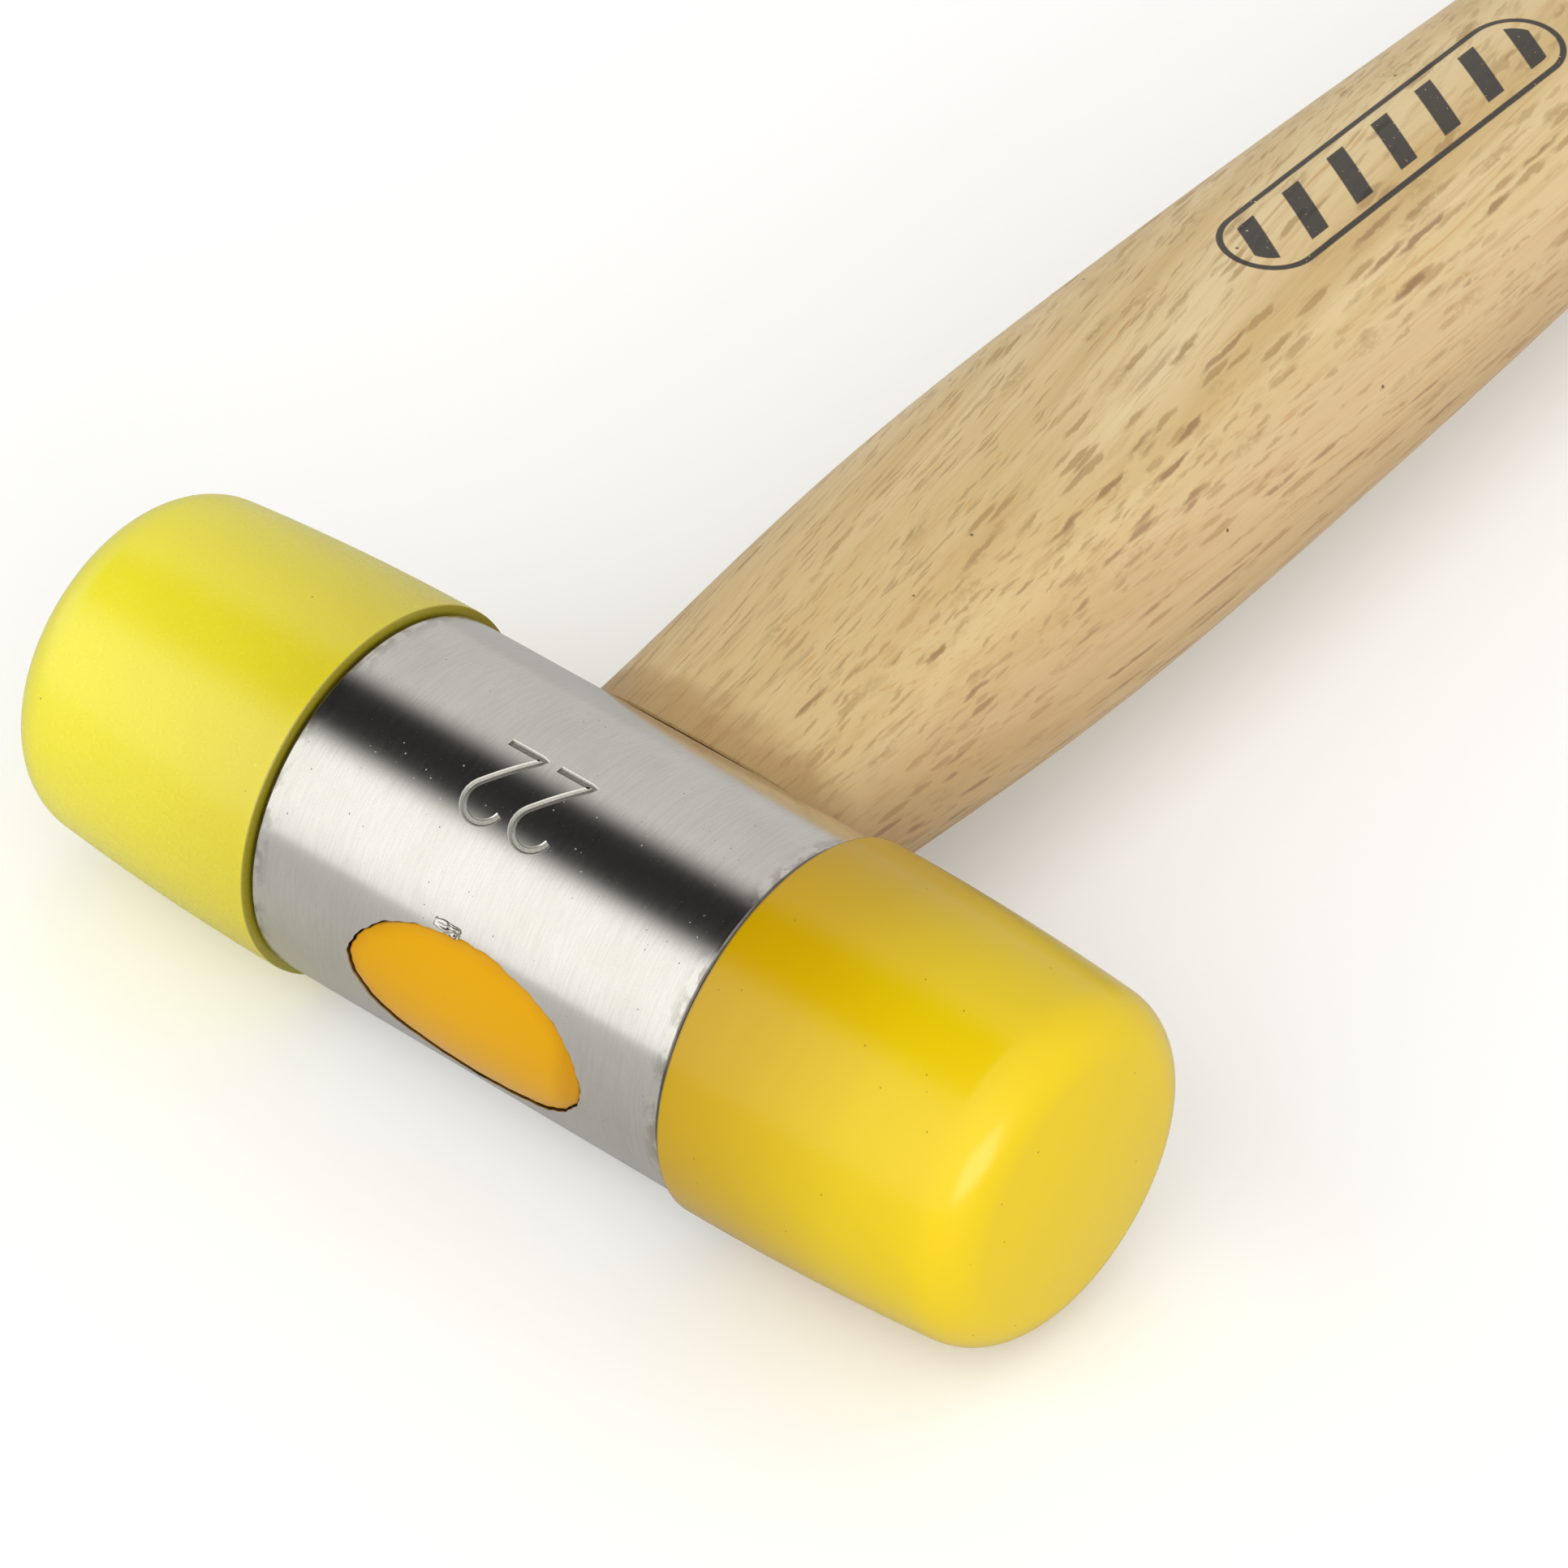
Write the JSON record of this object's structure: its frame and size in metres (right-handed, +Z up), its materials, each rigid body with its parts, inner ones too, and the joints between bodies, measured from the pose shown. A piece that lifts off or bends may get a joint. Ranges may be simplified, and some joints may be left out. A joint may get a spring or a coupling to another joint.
{
  "type": "dead blow mallet",
  "caption": "Small soft-face dead blow mallet with a tubular steel head, two screwed-on yellow plastic faces and an oval ash handle set in orange resin.",
  "frame": {"origin": "under the middle of the whole mallet's bounding box, at the height of its lowest point, with the mallet lying on its side", "axes": "+X along the head towards the amber face, +Y along the handle towards its butt, +Z up"},
  "size_m": [0.0704, 0.2564, 0.0229],
  "materials": {
    "ground_steel": "fine ground, bright",
    "pressed_steel": "pressed, oiled",
    "steel_shot": "polished",
    "lemon_plastic": "satin, slightly cloudy",
    "amber_plastic": "glossy, slightly translucent",
    "orange_resin": "glossy, poured",
    "ash_wood": "clear satin lacquer",
    "wedge_wood": "raw",
    "black_rubber": "matt"
  },
  "bodies": {
    "head": {"head_tube": "ground_steel", "eye_sleeve": "pressed_steel", "handle": "ash_wood", "handle_wedge": "wedge_wood", "eye_resin": "orange_resin", "left_chamber_plug": "pressed_steel", "right_chamber_plug": "pressed_steel"},
    "left_washer": {"left_washer": "black_rubber"},
    "left_face": {"left_face": "lemon_plastic"},
    "left_charge": {"left_shot_01": "steel_shot", "left_shot_02": "steel_shot", "left_shot_03": "steel_shot", "left_shot_04": "steel_shot", "left_shot_05": "steel_shot", "left_shot_06": "steel_shot", "left_shot_07": "steel_shot", "left_shot_08": "steel_shot", "left_shot_09": "steel_shot", "left_shot_10": "steel_shot", "left_shot_11": "steel_shot", "left_shot_12": "steel_shot", "left_shot_13": "steel_shot", "left_shot_14": "steel_shot"},
    "right_washer": {"right_washer": "black_rubber"},
    "right_face": {"right_face": "amber_plastic"},
    "right_charge": {"right_shot_01": "steel_shot", "right_shot_02": "steel_shot", "right_shot_03": "steel_shot", "right_shot_04": "steel_shot", "right_shot_05": "steel_shot", "right_shot_06": "steel_shot", "right_shot_07": "steel_shot", "right_shot_08": "steel_shot", "right_shot_09": "steel_shot", "right_shot_10": "steel_shot", "right_shot_11": "steel_shot", "right_shot_12": "steel_shot", "right_shot_13": "steel_shot", "right_shot_14": "steel_shot"}
  },
  "joints": [
    {"name": "left_face_travel", "type": "slide", "parent": "head", "child": "left_washer", "axis": [-1, 0, 0], "range_m": [0, 0.008]},
    {"name": "left_face_turn", "type": "hinge", "parent": "left_washer", "child": "left_face", "pos_m": [-0.02, -0.11678, 0.01145], "axis": [-1, 0, 0], "range_deg": [0, 1441]},
    {"name": "left_shot_slide", "type": "slide", "parent": "head", "child": "left_charge", "axis": [-1, 0, 0], "range_m": [-0.0033, 0.0033]},
    {"name": "right_face_travel", "type": "slide", "parent": "head", "child": "right_washer", "axis": [1, 0, 0], "range_m": [0, 0.008]},
    {"name": "right_face_turn", "type": "hinge", "parent": "right_washer", "child": "right_face", "pos_m": [0.02, -0.11678, 0.01145], "axis": [1, 0, 0], "range_deg": [0, 1441]},
    {"name": "right_shot_slide", "type": "slide", "parent": "head", "child": "right_charge", "axis": [1, 0, 0], "range_m": [-0.0033, 0.0033]}
  ],
  "couplings": [
    {"joint": "left_face_turn", "follows": "left_face_travel", "rad_per_m": 3141.6},
    {"joint": "right_face_turn", "follows": "right_face_travel", "rad_per_m": 3141.6}
  ]
}
